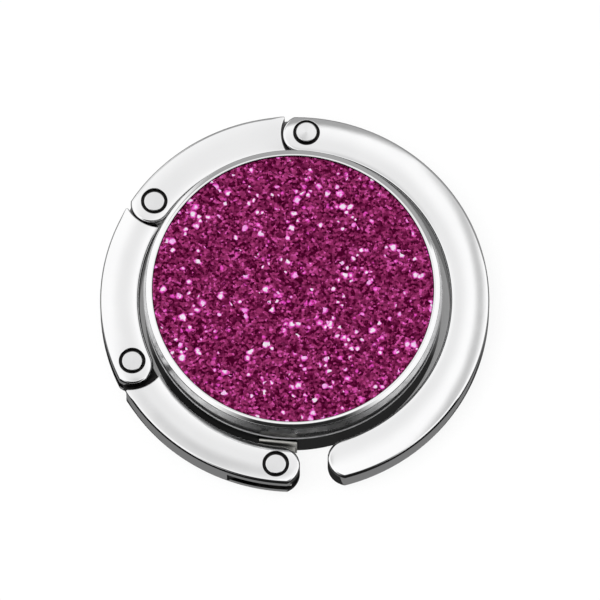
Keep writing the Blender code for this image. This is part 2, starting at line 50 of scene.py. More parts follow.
# Ring of links and clearances, as in the CAD part
SEAT_GAP = 0.05
RUNNING_GAP = 0.08
RING_RADIUS = 22.5
RING_BAND = 4.55
HALF_BAND = RING_BAND / 2
RING_INNER = RING_RADIUS - RING_BAND
RING_MIDDLE = RING_RADIUS - HALF_BAND
RING_LIFT = 1.15
RING_TOP = 4.7
MID_HEIGHT = (RING_LIFT + RING_TOP) / 2
LOWER_RIVET = (263.8, RING_MIDDLE)
MIDDLE_RIVET = (202.0, RING_MIDDLE)
UPPER_RIVET = (143.6, RING_MIDDLE)
ARM_RIVET = (86.2, RING_MIDDLE + 0.28)
LOWER_OPENING = 36.0
TIP_ANGLE = -72.3
EAR_REACH = 0.4
END_BULGE = 0.125
END_RADIUS = HALF_BAND + END_BULGE
END_CENTRE = RING_INNER + END_RADIUS
SHOULDER_RADIUS = 4.2
HALF_SLOT = 0.675
SLOT_HIGH = MID_HEIGHT + HALF_SLOT
TONGUE_HIGH = SLOT_HIGH - RUNNING_GAP
HALF_TONGUE = 2.0
TONGUE_HEEL = 1.75
HEEL_ANGLE = degrees(atan2(HALF_TONGUE, TONGUE_HEEL))
SLOT_RUNOUT = 5.3
RUNOUT_SIDE = 1.5
RIVET_SHANK = 0.75
RIVET_HEAD = 1.2
RIVET_DROP = 0.04
ARM_RIVET_RISE = 0.3
SINK_RADIUS = 1.53
SINK_DEPTH = 0.45

# The ring's walls as circles: centre, radius, and 1 where the metal is inside or -1 outside
OUTER = (np.zeros(2), RING_RADIUS, 1)
INNER = (np.zeros(2), RING_INNER, -1)

# Rounding of the polished edges. Each top is bowed: the degrees that it turns in a millimetre
# away from its ridge, and the ridge's radius. Near the inner wall and the round ends it turns more.
EDGE_ROUND = 0.32
SHOULDER_ROUND = 0.13
HORN_ROUND = 0.17
SINK_ROUND = 0.07
SINK_RIM = SINK_RADIUS + SINK_ROUND
HEAD_ROUND = 0.13
BOWS = {"lower": (2.1, 20.3), "middle": (2.0, 20.0), "upper": (1.2, 20.4), "arm": (2.0, 19.05)}
INNER_SOFT = 1.0
INNER_SLOPE = 3.0
ROUND_BLEND = 1.6

# Fineness of the meshes: steps, pitches, the insets of a top's rows of points, and what they keep free
CIRCLE_STEPS, RIVET_STEPS, PAD_STEPS, DISC_STEPS, GLITTER_STEPS = 48, 64, 192, 288, 320
TONGUE_STEPS, ROUND_ROWS, SINK_ROWS = 12, 8, 4
ARC_PITCH = 0.3
TOP_PITCH = 0.42
TOP_INSETS = (0.13, 0.28, 0.46, 0.68, 0.95, 1.28, 1.62)
TOP_MARGIN = 0.11
SHOULDER_MARGIN = 0.12
SINK_MARGIN = 0.1
END_TURN = 6.5
WELD = 2e-4

# Disc, as in the CAD part but for the lip, the waist in the bezel's wall and the ledge at the seam
DISC_X = -0.2
BASE_RADIUS = 17.2
BASE_FOOT = 0.45
BASE_TOP = 5.1
SEAM_RADIUS = 17.25
SEAM_HEIGHT = 0.13
BASE_INNER = 15.6
PAD_RADIUS = 15.0
PAD_SEAT = 0.82
PAD_TOP = 0.6
BASE_FLOOR_TOP = 1.37
BEZEL_BOTTOM = 5.18
BEZEL_TOP = 8.33
BEZEL_RADIUS = 17.17
LIP_SHOULDER = 16.5
LIP_EDGE = 17.02
LIP_FALL = 0.17
WAIST_RADIUS = 17.28
WAIST_HEIGHT = 6.9
LIP_INNER = 16.25
INSERT_RADIUS = 16.23
INSERT_TOP = 8.23
INSERT_BOTTOM = 7.53
INSERT_SEAT = 7.31
SEAT_UNDERSIDE = INSERT_SEAT - 0.8
SKIRT_RADIUS = BASE_INNER - SEAT_GAP
SKIRT_INNER = SKIRT_RADIUS - 0.9
SKIRT_BOTTOM = 4.4
DISC_CENTRE = np.array([DISC_X, 0.0])
DISC_PLACE = (DISC_X, 0.0, 0.0)

# Swivel knuckle, as in the CAD part
HALF_PLATE_WIDTH = 2.2
HALF_PLATE_HEIGHT = 1.7
PLATE_ROUND = 0.13
STUD_RADIUS = 0.75
STUD_NECK = 0.5
STUD_TAIL = 0.35
STUD_ROUND = 0.06
WASHER_RADIUS = 1.505
WASHER_THICKNESS = 0.25
CLIP_THICKNESS = 0.3

# Facets of the glitter
FACET_PITCH = 0.34
FACET_JITTER = 0.14
FACET_DEPTH = 0.07
FACET_ROWS = 60
GLITTER_RIM = 0.05

# Painted shade: how far metal's colour is darkened as its surroundings close in, from a share of open sky
# to a tone: in the ring's narrow gaps, on the disc's wall behind the ring, and on the knuckle
OPEN_SHADE_STOPS = [(0.15, 0.05), (0.45, 0.2), (0.75, 0.8), (0.88, 1.0)]
WALL_SHADE_STOPS = [(0.30, 0.02), (0.62, 0.07), (0.80, 0.35), (0.93, 1.0)]
PLATE_SHADE_STOPS = [(0.10, 0.04), (0.30, 0.16), (0.45, 0.6), (0.60, 1.0)]

# Pink of the glitter's grains by their random pick, then the painted glints of a flake: its hot pink rim
# and its pink-white middle
GRAIN_STOPS = [
    (0.0, (0.078, 0.001, 0.024)), (0.2, (0.145, 0.007, 0.054)), (0.42, (0.238, 0.018, 0.098)),
    (0.62, (0.350, 0.034, 0.152)), (0.80, (0.470, 0.050, 0.225)), (0.93, (0.740, 0.100, 0.430)),
]
GLINT_RIM = (1.0, 0.09, 0.66, 1.0)
GLINT_STOPS = [(0.0, (1.0, 0.30, 0.84)), (0.25, (1.0, 0.60, 0.98)), (0.6, (1.0, 0.90, 1.0))]

# Surfaces in soft patches of two colours: the patches' size, the colours, the roughness (size, lowest,
# highest), the grain (size, detail, depth), the metallic value, and for some the reach and tones of a
# painted shade in their hollows
SURFACES = {
    "seam_metal": (0.7, [(0.50, 0.50, 0.51), (0.68, 0.68, 0.69)],
                   (0.4, 0.45, 0.6), (0.2, 2.0, 0.003), 0.35),
    # knuckle_satin is darkened by painted shade where the disc and the ring close in on it
    "knuckle_satin": (0.9, [(0.76, 0.75, 0.70), (0.88, 0.87, 0.83)],
                      (0.5, 0.34, 0.46), (0.25, 2.0, 0.002), 0.45, 1.6, PLATE_SHADE_STOPS),
    # Near-black metal that is painted shade: in the rivet sinks, in the slots, and on the lower link's
    # shoulder and tongue
    "shade_black_metal": (0.5, [(0.010, 0.010, 0.011), (0.036, 0.034, 0.033)],
                     (0.3, 0.3, 0.5), (0.2, 2.0, 0.004), 1.0),
    "spring": (0.5, [(0.5, 0.5, 0.51), (0.66, 0.66, 0.67)], (0.3, 0.25, 0.4), (0.12, 2.0, 0.002), 1.0),
    "film": (1.5, [(0.70, 0.68, 0.62), (0.80, 0.79, 0.74)], (0.6, 0.45, 0.65), (0.5, 3.0, 0.01), 0.0),
}

# Grey in the sky that reflections find, placed by how far they point to the side and to the back.
# Round spots: middle, half sizes, share of them at full depth, depth. Panels: edges, depth.
SKY_SPOTS = [
    (0.0, 0.33, 0.099, 0.18, 0.1, 0.16),
    (-0.06, 0.24, 0.09, 0.09, 0.15, 0.30),
    (0.05, -0.53, 0.55, 0.47, 0.65, 0.98),
]
SKY_PANELS = [
    ([("side", 0.115, 0.172), ("side", 0.225, 0.18), ("back", 0.0, 0.1), ("back", 0.52, 0.46)], 0.42),
    ([("back", 0.476, 0.52), ("side", -0.42, -0.28)], 0.62),
]


# Flat geometry
def polar(radius, angle):
    angle = radians(angle)
    return np.array([radius * cos(angle), radius * sin(angle)])


def rivet_frame(rivet):
    """A rivet's place, with the directions along its ear's link and outwards."""
    outward = polar(1.0, rivet[0])
    return outward * rivet[1], np.array([outward[1], -outward[0]]), outward


def crossing(first, second, near):
    """Where two circles, each a centre and a radius, cross nearest to a point."""
    (centre, radius), (other, other_radius) = first, second
    gap = other - centre
    distance = norm(gap)
    reach = (distance**2 + radius**2 - other_radius**2) / (2 * distance)
    rise = sqrt(radius**2 - reach**2)
    unit = gap / distance
    side = np.array([-unit[1], unit[0]]) * rise
    both = centre + unit * reach + side, centre + unit * reach - side
    return min(both, key=lambda point: norm(point - near))


def direction(point, centre):
    return degrees(atan2(point[1] - centre[1], point[0] - centre[0]))


def turn_to(first, last):
    """The turn from one direction to another, between minus and plus half a turn."""
    return (last - first + 180.0) % 360.0 - 180.0


# Meshes
def new_object(name, data):
    obj = bpy.data.objects.new(name, data)
    bpy.context.scene.collection.objects.link(obj)
    return obj


class Shell:
    """Collects patches of faces with a normal at every point, and welds them into one mesh."""

    def __init__(self):
        self.points, self.normals, self.faces, self.finishes = [], [], [], []
        self.finish = self.count = 0

    def patch(self, points, normals, faces):
        self.points.append(np.asarray(points, float))
        self.normals.append(np.asarray(normals, float))
        self.faces += [[self.count + i for i in face] for face in faces]
        self.finishes += [self.finish] * len(faces)
        self.count += len(points)

    def grid(self, rows, normals, skip=lambda row, column: False, closed=False):
        """A strip of quads through rows of points, without the cells that skip names."""
        rows, normals = np.asarray(rows, float), np.asarray(normals, float)
        height, width = rows.shape[:2]
        faces = []
        for row in range(height - 1):
            for column in range(width if closed else width - 1):
                if not skip(row, column):
                    low, following = row * width, (column + 1) % width
                    high = low + width
                    faces.append([low + column, low + following, high + following, high + column])
        self.patch(rows.reshape(-1, 3), normals.reshape(-1, 3), faces)

    def mirror(self, height):
        """Adds the same patches again, upside down about a height."""
        points, normals = np.concatenate(self.points), np.concatenate(self.normals)
        points[:, 2] = 2 * height - points[:, 2]
        normals[:, 2] = -normals[:, 2]
        self.patch(points, normals, list(self.faces))
        self.finishes = self.finishes[:len(self.finishes) // 2] * 2

    def build(self, name):
        """One mesh object, its doubled points welded and its corner normals kept."""
        points, normals = np.concatenate(self.points), np.concatenate(self.normals)
        normals /= norm(normals, axis=1)[:, None]
        keys = np.round(points / WELD + 0.317).astype(np.int64)
        _, first, index = np.unique(keys, axis=0, return_index=True, return_inverse=True)
        index = index.reshape(-1)
        faces, corners, finishes = [], [], []
        for face, finish in zip(self.faces, self.finishes):
            kept = [i for i, before in zip(face, face[-1:] + face[:-1]) if index[i] != index[before]]
            if len({index[i] for i in kept}) < 3:
                continue
            spots = points[kept]
            across = np.cross(spots, np.roll(spots, -1, axis=0)).sum(axis=0)
            if across @ normals[kept].sum(axis=0) < 0:
                kept.reverse()
            faces.append([int(index[i]) for i in kept])
            finishes.append(finish)
            corners += [normals[i] for i in kept]
        mesh = bpy.data.meshes.new(name)
        mesh.from_pydata((points[first] * MM).tolist(), [], faces)
        mesh.polygons.foreach_set("material_index", finishes)
        mesh.shade_smooth()
        mesh.normals_split_custom_set([tuple(normal) for normal in corners])
        return new_object(name, mesh)


def fill(loops, inside, holes=()):
    """Triangles of the area in loops of flat points, with more points inside, and open round holes."""
    points = [Vector(point) for group in (*loops, inside) for point in group]
    edges, start = [], 0
    for loop in loops:
        size = len(loop)
        edges += [(start + i, start + (i + 1) % size) for i in range(size)]
        start += size
    verts, _, faces = delaunay_2d_cdt(points, edges, [], 1, 1e-9)[:3]
    flat = np.array([tuple(vert) for vert in verts])
    clear = lambda middle: all(norm(middle - centre) > radius * 0.999 for centre, radius in holes)
    return flat, [list(face) for face in faces if clear(flat[list(face)].mean(axis=0))]


def raised(flat, height):
    """Flat points at a height, which is one number or one for each point."""
    return np.column_stack([flat, np.broadcast_to(height, len(flat))])


def circle(centre, radius, steps=CIRCLE_STEPS):
    return np.array([centre + polar(radius, 360.0 * i / steps) for i in range(steps)])


# Bowed tops
class Crown:
    """The height of a ring piece's bowed top."""

    def __init__(self, bow, ends):
        self.bow, self.ends = bow, ends

    def depths(self, flat):
        """How far points lie from the outer wall, and from the inner wall and the round ends."""
        radius = norm(flat, axis=1)
        outer = RING_RADIUS - radius
        inner = radius - RING_INNER
        angles = np.degrees(np.arctan2(flat[:, 1], flat[:, 0]))
        for angle, side in self.ends:
            past = ((angles - angle + 180.0) % 360.0 - 180.0) * side
            to_end = END_RADIUS - norm(flat - polar(END_CENTRE, angle), axis=1)
            inner = np.where((past > 0.0) & (past < 30.0), to_end, inner)
        return outer, inner

    def height(self, flat):
        turn, ridge = self.bow
        outer, inner = self.depths(flat)
        across = RING_RADIUS - outer - ridge
        near = np.clip(1.0 - inner / INNER_SOFT, 0.0, 1.5)
        edge = tan(radians(INNER_SLOPE)) * INNER_SOFT / 3 * near**3
        return RING_TOP - tan(radians(turn)) / 2 * across**2 - edge

    def normal(self, flat):
        step = 0.01
        sides = np.eye(2) * step
        falls = [(self.height(flat - side) - self.height(flat + side)) / (2 * step) for side in sides]
        up = np.column_stack([*falls, np.ones(len(flat))])
        return up / norm(up, axis=1)[:, None]


class Arc:
    """A stretch of a ring piece's outline: part of a circle, between two corners."""

    def __init__(self, centre, radius, inside, rounding, corners, corner_rounding, breaks=()):
        self.centre, self.radius, self.inside, self.rounding = centre, radius, inside, rounding
        self.corners, self.corner_rounding = corners, corner_rounding
        first, last = [direction(corner(0.0), centre) for corner in corners]
        span = turn_to(first, last)
        self.length = abs(radians(span)) * radius
        marks = [0.0, *sorted(turn_to(first, direction(point, centre)) / span for point in breaks), 1.0]
        shares = [0.0]
        for low, high in zip(marks, marks[1:]):
            steps = max(2, ceil((high - low) * self.length / ARC_PITCH))
            shares += [low + (high - low) * (i + 1) / steps for i in range(steps)]
        self.shares = np.array(shares)
        self.marks = [int(np.argmin(abs(self.shares - mark))) for mark in marks[1:-1]]

    def roundings(self):
        """The edge's rounding at each point, which narrows towards a sharp corner."""
        along = self.shares * self.length
        value = np.full(len(along), self.rounding)
        for distance, corner in zip((along, self.length - along), self.corner_rounding):
            near = np.clip(1.0 - distance / ROUND_BLEND, 0.0, 1.0)
            value += (corner - self.rounding) * near**2 * (3 - 2 * near)
        return value

    def level(self, inset):
        """The points and outward directions of the arc moved inwards by a share of its rounding."""
        first, last = [direction(corner(inset), self.centre) for corner in self.corners]
        angles = np.radians(first + turn_to(first, last) * self.shares)
        rays = np.column_stack([np.cos(angles), np.sin(angles)])
        radii = self.radius - self.inside * self.roundings() * inset
        return self.centre + rays * radii[:, None], rays * self.inside


def corner_of(first, second, near, rounding):
    """A corner between two circles, each a centre, a radius and the side of its material, as a
    function of how far the outline has moved inwards."""
    def place(inset):
        moved = [(centre, radius - inside * rounding * inset) for centre, radius, inside in (first, second)]
        return crossing(moved[0], moved[1], near)
    return place


def edge_rows(arc, crown):
    """Rows of points and normals from an arc's wall over its rounded edge to the crowned top."""
    rows, normals = [], []
    for row in range(ROUND_ROWS + 1):
        tilt = radians(90.0 * (1 - row / ROUND_ROWS))
        flat, outward = arc.level(1.0 - sin(tilt))
        height = crown.height(flat) - arc.roundings() * (1.0 - cos(tilt))
        rows.append(raised(flat, height))
        normals.append(sin(tilt) * raised(outward, 0.0) + cos(tilt) * crown.normal(flat))
    return rows, normals


def wall_rows(arc, crown):
    """Rows of an arc's wall, from its rounded edge down to the ring's middle height."""
    flat, outward = arc.level(0.0)
    edge = crown.height(flat) - arc.roundings()
    heights = [edge, SLOT_HIGH, TONGUE_HIGH, MID_HEIGHT]
    return [raised(flat, height) for height in heights], [raised(outward, 0.0)] * len(heights)


def add_sink(shell, crown, place):
    """A rivet's sink in the top, its floor, and the bore down to the slot; the sink's wall, its floor and
    the bore take the second finish, near-black painted shade. Gives the sink's rim.
    """
    rows, normals = [], []
    for row in range(SINK_ROWS + 1):
        tilt = radians(90.0 * row / SINK_ROWS)
        flat = circle(place, SINK_RADIUS + SINK_ROUND * (1.0 - sin(tilt)))
        inward = raised((place - flat) / norm(place - flat, axis=1)[:, None], 0.0)
        rows.append(raised(flat, crown.height(flat) - SINK_ROUND * (1.0 - cos(tilt))))
        normals.append(sin(tilt) * inward + cos(tilt) * crown.normal(flat))
    shell.grid(rows, normals, closed=True)
    # The sink's wall, floor and bore take near-black painted shade
    shell.finish = 1
    floor = RING_TOP - SINK_DEPTH
    bore = circle(place, RIVET_SHANK + SEAT_GAP)
    low = raised(circle(place, SINK_RADIUS), floor)
    rows = [rows[-1], low, raised(bore, floor), raised(bore, SLOT_HIGH)]
    up = np.tile([0.0, 0.0, 1.0], (CIRCLE_STEPS, 1))
    for i, way in enumerate((inward, up, inward)):
        shell.grid(rows[i:i + 2], [way] * 2, closed=True)
    shell.finish = 0
    return circle(place, SINK_RIM)


def add_wall(shell, points, heights):
    """Upright flat walls on a line of flat points, each stretch with its own normal."""
    for first, last in zip(points, points[1:]):
        across = np.array([last[1] - first[1], first[0] - last[0], 0.0])
        rows = [[[*first, height], [*last, height]] for height in heights]
        shell.grid(rows, [[across, across]] * len(heights))


def slot_end(rivet, depth):
    """The line that ends a fork's slot, from the inner wall to the outer wall."""
    middle, along, outward = rivet_frame((rivet[0], RING_MIDDLE))
    inner = middle + along * depth + outward * (sqrt(RING_INNER**2 - depth**2) - RING_MIDDLE)
    turn = middle + along * depth + outward * RUNOUT_SIDE
    rise = sqrt(RING_RADIUS**2 - SLOT_RUNOUT**2) - RING_MIDDLE
    return [inner, turn, middle + along * SLOT_RUNOUT + outward * rise]


def inside_points(crown, limits, clear):
    """Points over a ring piece's top, in rows that crowd towards its walls."""
    insets = [EDGE_ROUND + step for step in TOP_INSETS]
    radii = [RING_INNER + inset for inset in insets] + [RING_RADIUS - inset for inset in insets]
    spots = []
    low, high = sorted(limits)
    for row, radius in enumerate(sorted(radii)):
        steps = ceil(radians(high - low) * radius / TOP_PITCH)
        turns = [low + (high - low) * (i + row % 2 / 2) / steps for i in range(steps + 1)]
        spots += [polar(radius, turn) for turn in turns]
    spots = np.array(spots)
    spots = spots[np.minimum(*crown.depths(spots)) > EDGE_ROUND + TOP_MARGIN]
    for centre, radius in clear:
        spots = spots[norm(spots - centre, axis=1) > radius]
    return list(spots)


def slot_depth(opening, corner_angle):
    """How deep a fork's slot runs past its rivet, so that the tongue's heel stops on it."""
    left = max(0.0, corner_angle - opening)
    return hypot(TONGUE_HEEL, HALF_TONGUE) * cos(radians(left)) + RUNNING_GAP


def round_end(angle, side):
    """A round end's circle, its corner on the outer wall and its touch on the inner wall: side is
    1 for an ear, -1 for the tip."""
    end = (polar(END_CENTRE, angle), END_RADIUS, 1)
    near = polar(RING_RADIUS, angle + side * 3.0)
    corner = corner_of(end, OUTER, near, EDGE_ROUND)
    tangent = lambda inset: polar(RING_INNER + EDGE_ROUND * inset, angle)
    return end, corner, tangent


def horn_end(wall, hollow, horn):
    """A horn's blunt tip: its centre, and its corners on the wall and on the hollow shoulder."""
    centre = crossing((wall[0], wall[1] - wall[2] * HORN_ROUND), (hollow[0], hollow[1] + HORN_ROUND), horn)
    corners = []
    for middle, radius, inside in (wall, hollow):
        way = (centre - middle) / norm(centre - middle)
        corners.append(lambda inset, middle=middle, radius=radius, inside=inside, way=way:
                       middle + way * (radius - inside * SHOULDER_ROUND * inset))
    return centre, corners


def add_fork(shell, arcs, rivet, end_line):
    """The ceiling and the end wall of a fork's slot."""
    ear, outer, inner = [arcs[key].level(0.0)[0] for key in ("ear", "outer", "inner")]
    flats = [inner[arcs["inner"].marks[0]:-1], ear[:-1], outer[:arcs["outer"].marks[0]]]
    boundary = [*np.concatenate(flats), *reversed(end_line)]
    boundary = [point for point, before in zip(boundary, boundary[-1:] + boundary[:-1])
                if norm(point - before) > 1e-6]
    place, bore = rivet_frame(rivet)[0], RIVET_SHANK + SEAT_GAP
    flat, faces = fill([boundary, circle(place, bore)], [], [(place, bore)])
    shell.patch(raised(flat, SLOT_HIGH), np.tile([0.0, 0.0, -1.0], (len(flat), 1)), faces)
    add_wall(shell, end_line, (SLOT_HIGH, TONGUE_HIGH, MID_HEIGHT))


def add_tongue(shell, arc, rivet, ends):
    """A link's tongue, from the hollow shoulder to the heel past the next rivet."""
    middle, along, outward = rivet_frame((rivet[0], RING_MIDDLE))
    place = rivet_frame(rivet)[0]
    sides = []
    for end, radius in zip(ends, (RING_MIDDLE + HALF_TONGUE, RING_MIDDLE - HALF_TONGUE)):
        first = direction(end, np.zeros(2))
        span = turn_to(first, rivet[0])
        sides.append([polar(radius, first + span * i / TONGUE_STEPS) for i in range(TONGUE_STEPS + 1)])
    heel = [middle + along * TONGUE_HEEL + outward * side for side in (HALF_TONGUE, -HALF_TONGUE)]
    rim = [*sides[0], *heel, *reversed(sides[1])]
    root = list(arc.level(0.0)[0][arc.marks[0]:arc.marks[1] + 1])
    boundary = [*rim[:-1], *reversed(root)][:-1]
    bore = RIVET_SHANK + RUNNING_GAP
    hole = circle(place, bore)
    flat, faces = fill([boundary, hole], [], [(place, bore)])
    shell.patch(raised(flat, TONGUE_HIGH), np.tile([0.0, 0.0, 1.0], (len(flat), 1)), faces)
    heights = TONGUE_HIGH, MID_HEIGHT
    for side, sign in zip(sides, (1.0, -1.0)):
        rays = np.array(side) / norm(side, axis=1)[:, None] * sign
        shell.grid([raised(np.array(side), height) for height in heights], [raised(rays, 0.0)] * 2)
    straight = [sides[0][-1], *heel, sides[1][-1]]
    add_wall(shell, straight[::-1], heights)
    rays = raised((place - hole) / bore, 0.0)
    shell.grid([raised(hole, height) for height in heights], [rays] * 2, closed=True)


def open_cells(key, arc):
    """Which cells of a wall a slot or a tongue's root leaves open, for Shell.grid."""
    marks, width = arc.marks, len(arc.shares)
    spans = {"ear": [width], "outer": marks, "inner": [*marks, width], "far": marks or [0]}
    open_row, span = 2 if key == "far" else 1, range(*spans.get(key, [0]))
    return lambda row, column: row >= open_row and column in span


def ring_piece(name, bow, rivet, depth, far=None, reach=None, shaded=False):
    """A piece of the ring, forked at its rivet. It ends in a hollow shoulder with a tongue at the far
    rivet, or in the round tip where no far rivet is given. With the last argument set, its shoulder and
    tongue take the second finish, a near-black metal that is painted shade."""
    ear_angle = rivet[0] + degrees(EAR_REACH / RING_MIDDLE)
    ear, ear_corner, ear_tangent = round_end(ear_angle, 1)
    end_line = slot_end(rivet, depth)
    shell = Shell()
    if far:
        crown = Crown(bow, [(ear_angle, 1)])
        place, along, outward = rivet_frame(far)
        hollow = (place + along * (SHOULDER_RADIUS - reach), SHOULDER_RADIUS, -1)
        horns = [place - along * reach + outward * side for side in (HALF_BAND, -HALF_BAND)]
        tips = [horn_end(wall, hollow, horn) for wall, horn in zip((OUTER, INNER), horns)]
        wall_corners, far_corners = zip(*[corners for _, corners in tips])
        ends = [crossing((np.zeros(2), RING_MIDDLE + side), hollow[:2], horn)
                for side, horn in zip((HALF_TONGUE, -HALF_TONGUE), horns)]
        clear = [(hollow[0], hollow[1] + SHOULDER_ROUND + SHOULDER_MARGIN)]
        edge, limits = SHOULDER_ROUND, (ear_angle + END_TURN, far[0])
    else:
        crown = Crown(bow, [(ear_angle, 1), (TIP_ANGLE, -1)])
        hollow, *wall_corners = round_end(TIP_ANGLE, -1)
        far_corners, ends, clear = wall_corners, [], []
        edge, limits = EDGE_ROUND, (ear_angle + END_TURN, TIP_ANGLE - END_TURN)
    to_outer, to_inner = (ear_corner, wall_corners[0]), (wall_corners[1], ear_tangent)
    arcs = {
        "ear": Arc(*ear, EDGE_ROUND, (ear_tangent, ear_corner), [EDGE_ROUND] * 2),
        "outer": Arc(*OUTER, EDGE_ROUND, to_outer, [EDGE_ROUND, edge], end_line[2:]),
        "far": Arc(*hollow, edge, far_corners, [edge] * 2, ends),
        "inner": Arc(*INNER, EDGE_ROUND, to_inner, [edge, EDGE_ROUND], end_line[:1]),
    }
    if far:
        for key, (centre, corners), order in zip(("outer horn", "inner horn"), tips, (1, -1)):
            arcs[key] = Arc(centre, HORN_ROUND, 1, edge, corners[::order], [edge] * 2)
        arcs = {key: arcs[key] for key in ("ear", "outer", "outer horn", "far", "inner horn", "inner")}
    for key, arc in arcs.items():
        shell.grid(*edge_rows(arc, crown))
        # With the last argument set, the hollow shoulder's wall takes near-black painted shade
        shell.finish = int(shaded and key == "far")
        shell.grid(*wall_rows(arc, crown), open_cells(key, arc))
        shell.finish = 0
    place = rivet_frame(rivet)[0]
    rim = np.concatenate([arc.level(1.0)[0][:-1] for arc in arcs.values()])
    hole = add_sink(shell, crown, place)
    spots = inside_points(crown, limits, [*clear, (place, SINK_RIM + SINK_MARGIN)])
    flat, faces = fill([rim, hole], spots, [(place, SINK_RIM)])
    shell.patch(raised(flat, crown.height(flat)), crown.normal(flat), faces)
    # The slot's ceiling and end wall take near-black painted shade
    shell.finish = 1
    add_fork(shell, arcs, rivet, end_line)
    # With the last argument set, the tongue takes near-black painted shade
    shell.finish = int(shaded)
    if far:
        add_tongue(shell, arcs["far"], far, ends)
    shell.mirror(MID_HEIGHT)
    return shell.build(name)


# Turned pieces
def rounded_profile(corners):
    """Pieces of a turned profile, each rows of radius, height and normal, from its corners, each a
    radius, a height and maybe a rounding, with the outside on the left of the way along them."""
    points = [np.array(corner[:2]) for corner in corners]
    ways = [(after - before) / norm(after - before) for before, after in zip(points, points[1:])]
    starts, ends, arcs = list(points), list(points), {}
    for i in range(1, len(ways)):
        old, new, rounding = ways[i - 1], ways[i], (*corners[i], 0.0)[2]
        turn = atan2(old[0] * new[1] - old[1] * new[0], old @ new)
        trim = rounding * abs(tan(turn / 2))
        ends[i], starts[i] = points[i] - old * trim, points[i] + new * trim
        if not rounding:
            continue
        bulge = -1.0 if turn < 0 else 1.0
        normal = np.array([-old[1], old[0]])
        centre = ends[i] + normal * rounding * bulge
        steps = max(4, ceil(abs(degrees(turn)) / 5))
        arcs[i] = []
        for k in range(steps + 1):
            ray = normal * cos(turn * k / steps) - old * sin(turn * k / steps)
            arcs[i].append((*(centre - ray * rounding * bulge), *ray))
    pieces = []
    for i, way in enumerate(ways):
        if i in arcs:
            pieces.append(arcs[i])
        normal = (-way[1], way[0])
        pieces.append([(*starts[i], *normal), (*ends[i + 1], *normal)])
    return pieces


def turn_pieces(shell, pieces, steps, centre, matrix=None):
    """Turns profile pieces about Z, then turns and moves them."""
    angles = np.radians(np.arange(steps) * 360.0 / steps)
    cosines, sines = np.cos(angles), np.sin(angles)
    turn = np.array(matrix or Matrix.Identity(3))
    for piece in pieces:
        rows, normals = [], []
        for radius, height, across, up in piece:
            ring = np.column_stack([radius * cosines, radius * sines, np.full(steps, height)])
            rays = np.column_stack([across * cosines, across * sines, np.full(steps, up)])
            rows.append(ring @ turn.T + centre)
            normals.append(rays @ turn.T)
        shell.grid(rows, normals, closed=True)


def turned(name, corners, steps, centre, matrix=None, matt=()):
    """A turned piece, with the second finish on the profile pieces that matt numbers."""
    shell = Shell()
    for number, piece in enumerate(rounded_profile(corners)):
        shell.finish = int(number in matt)
        turn_pieces(shell, [piece], steps, np.array(centre), matrix)
    return shell.build(name)


def make_rivet(name, rivet, rise):
    """A rivet with a flat, slightly rounded head in each face of its fork."""
    place = rivet_frame(rivet)[0]
    flush = RING_TOP - RIVET_DROP
    under = RING_TOP - SINK_DEPTH + SEAT_GAP
    foot = 2 * MID_HEIGHT
    bow = 0.05 if rise else 0.012
    corners = [
        (0.0, flush + rise), (RIVET_HEAD, flush + rise - bow, HEAD_ROUND),
        (RIVET_HEAD, under), (RIVET_SHANK, under),
        (RIVET_SHANK, foot - under), (RIVET_HEAD, foot - under),
        (RIVET_HEAD, foot - flush, HEAD_ROUND), (0.0, foot - flush),
    ]
    return turned(name, corners, RIVET_STEPS, (*place, 0.0))


def make_base_cup():
    corners = [
        (0.0, BASE_FLOOR_TOP), (BASE_INNER, BASE_FLOOR_TOP, 0.3),
        (BASE_INNER, BASE_TOP, 0.1), (SEAM_RADIUS, BASE_TOP, 0.06),
        (SEAM_RADIUS, BASE_TOP - SEAM_HEIGHT, 0.03),
        (BASE_RADIUS, BASE_TOP - SEAM_HEIGHT - 0.1, 0.05), (BASE_RADIUS, BASE_FOOT, 0.42),
        (PAD_RADIUS + SEAT_GAP, BASE_FOOT, 0.1), (PAD_RADIUS + SEAT_GAP, PAD_SEAT),
        (0.0, PAD_SEAT),
    ]
    return turned("cup_shell", corners, DISC_STEPS, DISC_PLACE, matt=(4, 5, 6, 7))


def make_bezel():
    corners = [
        (0.0, INSERT_SEAT), (LIP_INNER, INSERT_SEAT),
        (LIP_INNER, BEZEL_TOP, 0.07), (LIP_SHOULDER, BEZEL_TOP, 0.8),
        (LIP_EDGE, BEZEL_TOP - LIP_FALL, 0.2), (WAIST_RADIUS, WAIST_HEIGHT, 0.6),
        (BEZEL_RADIUS, BEZEL_BOTTOM, 0.1), (SKIRT_RADIUS, BEZEL_BOTTOM),
        (SKIRT_RADIUS, SKIRT_BOTTOM, 0.1), (SKIRT_INNER, SKIRT_BOTTOM, 0.1),
        (SKIRT_INNER, SEAT_UNDERSIDE, 0.2), (0.0, SEAT_UNDERSIDE),
    ]
    return turned("bezel_shell", corners, DISC_STEPS, DISC_PLACE, matt=(7, 8, 9))


def make_pad():
    corners = [(0.0, PAD_TOP), (PAD_RADIUS, PAD_TOP, 0.1), (PAD_RADIUS, 0.0, 0.2), (0.0, 0.0)]
    return turned("grip_pad", corners, PAD_STEPS, DISC_PLACE)


# Swivel knuckle
def joined(name, base, parts, cutter):
    """One mesh of a base with some parts joined to it and a cutter taken out."""
    for tool in (*parts, cutter):
        modifier = base.modifiers.new(tool.name, "BOOLEAN")
        modifier.operation = "DIFFERENCE" if tool == cutter else "UNION"
        modifier.solver, modifier.object = "EXACT", tool
    evaluated = base.evaluated_get(bpy.context.evaluated_depsgraph_get())
    mesh = bpy.data.meshes.new_from_object(evaluated)
    mesh.name = name
    for part in (base, *parts, cutter):
        bpy.data.objects.remove(part, do_unlink=True)
    mesh.shade_smooth()
    mesh.set_sharp_from_angle(angle=radians(35.0))
    return new_object(name, mesh)


